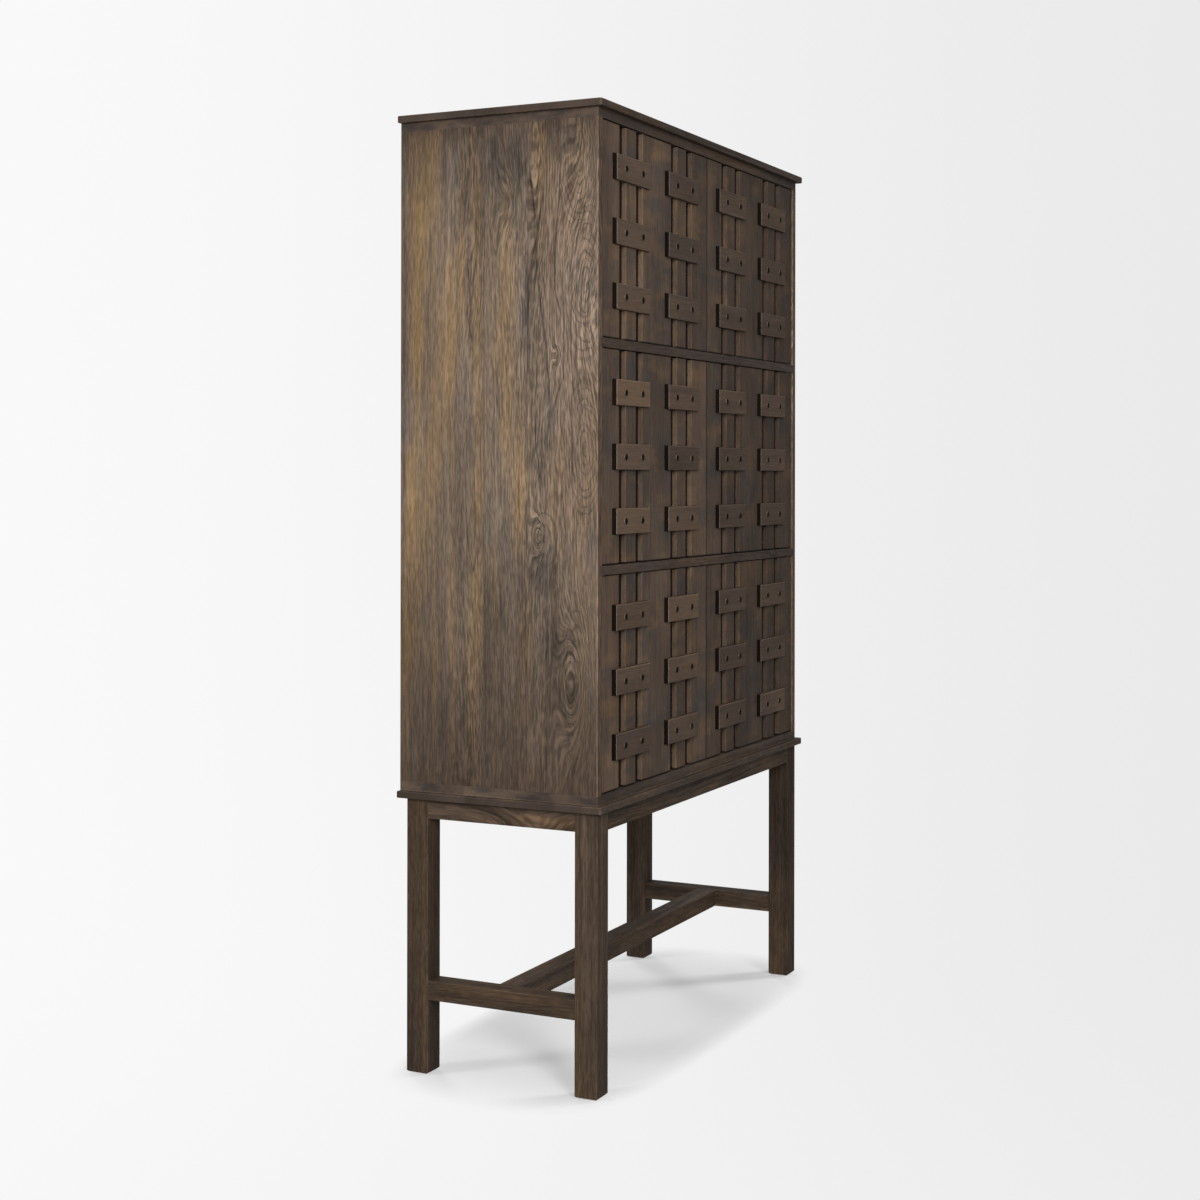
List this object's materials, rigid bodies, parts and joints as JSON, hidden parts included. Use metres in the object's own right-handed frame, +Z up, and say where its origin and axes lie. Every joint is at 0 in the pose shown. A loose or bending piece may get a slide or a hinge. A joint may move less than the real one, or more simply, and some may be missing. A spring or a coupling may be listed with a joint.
{
  "type": "tall cabinet",
  "caption": "Tall wooden cabinet: a slim case with inset doors, each grooved and set with pegged cross blocks, standing on an open leg frame tied by a low H stretcher.",
  "frame": {"origin": "on the floor, under the middle of the overall block", "axes": "+Z up, the doors face -Y, +X to the right as seen from the front"},
  "size_m": [1.1, 0.45, 1.9],
  "materials": {
    "case_wood": "satin, mid-brown oiled solid wood",
    "slab_wood": "satin, dark brown solid wood",
    "stand_wood": "satin, dark brown solid wood",
    "door_wood": "satin, grey-brown solid wood",
    "block_wood": "satin, brown wood with dark end grain",
    "peg_wood": "satin, very dark wood",
    "pale_wood": "plain beech, unfinished",
    "back_ply": "satin, stained plywood",
    "zinc_steel": "zinc plated",
    "magnet_steel": "dull grey",
    "bush_brass": "satin",
    "catch_plastic": "moulded, matte brown",
    "nylon": "moulded, matte dark brown"
  },
  "bodies": {
    "carcass": {"leg_front_left": "stand_wood", "leg_front_right": "stand_wood", "leg_back_left": "stand_wood", "leg_back_right": "stand_wood", "apron_front": "stand_wood", "apron_back": "stand_wood", "apron_left": "stand_wood", "apron_right": "stand_wood", "stretcher_left": "stand_wood", "stretcher_right": "stand_wood", "stretcher_centre": "stand_wood", "corner_blocks": "pale_wood", "corner_screws": "zinc_steel", "foot_glides": "nylon", "stand_screws": "zinc_steel", "bottom_slab": "slab_wood", "top_slab": "slab_wood", "side_left": "case_wood", "side_right": "case_wood", "case_top": "case_wood", "case_floor": "case_wood", "divider_lower": "case_wood", "divider_upper": "case_wood", "back_panel": "back_ply", "back_screws": "zinc_steel", "case_dowels": "pale_wood", "case_screws": "zinc_steel", "pivot_bushes": "bush_brass", "catch_bodies": "catch_plastic", "catch_magnets": "magnet_steel"},
    "door_lower_left": {"door_lower_left_panel": "door_wood", "door_lower_left_blocks": "block_wood", "door_lower_left_pegs": "peg_wood", "door_lower_left_pivots": "zinc_steel", "door_lower_left_strike": "zinc_steel"},
    "door_lower_right": {"door_lower_right_panel": "door_wood", "door_lower_right_blocks": "block_wood", "door_lower_right_pegs": "peg_wood", "door_lower_right_pivots": "zinc_steel", "door_lower_right_strike": "zinc_steel"},
    "door_middle_left": {"door_middle_left_panel": "door_wood", "door_middle_left_blocks": "block_wood", "door_middle_left_pegs": "peg_wood", "door_middle_left_pivots": "zinc_steel", "door_middle_left_strike": "zinc_steel"},
    "door_middle_right": {"door_middle_right_panel": "door_wood", "door_middle_right_blocks": "block_wood", "door_middle_right_pegs": "peg_wood", "door_middle_right_pivots": "zinc_steel", "door_middle_right_strike": "zinc_steel"},
    "door_upper_left": {"door_upper_left_panel": "door_wood", "door_upper_left_blocks": "block_wood", "door_upper_left_pegs": "peg_wood", "door_upper_left_pivots": "zinc_steel", "door_upper_left_strike": "zinc_steel"},
    "door_upper_right": {"door_upper_right_panel": "door_wood", "door_upper_right_blocks": "block_wood", "door_upper_right_pegs": "peg_wood", "door_upper_right_pivots": "zinc_steel", "door_upper_right_strike": "zinc_steel"}
  },
  "joints": [
    {"name": "door_lower_left_hinge", "type": "hinge", "parent": "carcass", "child": "door_lower_left", "pos_m": [-0.506, -0.2025, 0.787], "axis": [0, 0, -1], "range_deg": [0, 110]},
    {"name": "door_lower_right_hinge", "type": "hinge", "parent": "carcass", "child": "door_lower_right", "pos_m": [0.506, -0.2025, 0.787], "axis": [0, 0, 1], "range_deg": [0, 110]},
    {"name": "door_middle_left_hinge", "type": "hinge", "parent": "carcass", "child": "door_middle_left", "pos_m": [-0.506, -0.2025, 1.223], "axis": [0, 0, -1], "range_deg": [0, 110]},
    {"name": "door_middle_right_hinge", "type": "hinge", "parent": "carcass", "child": "door_middle_right", "pos_m": [0.506, -0.2025, 1.223], "axis": [0, 0, 1], "range_deg": [0, 110]},
    {"name": "door_upper_left_hinge", "type": "hinge", "parent": "carcass", "child": "door_upper_left", "pos_m": [-0.506, -0.2025, 1.659], "axis": [0, 0, -1], "range_deg": [0, 110]},
    {"name": "door_upper_right_hinge", "type": "hinge", "parent": "carcass", "child": "door_upper_right", "pos_m": [0.506, -0.2025, 1.659], "axis": [0, 0, 1], "range_deg": [0, 110]}
  ]
}
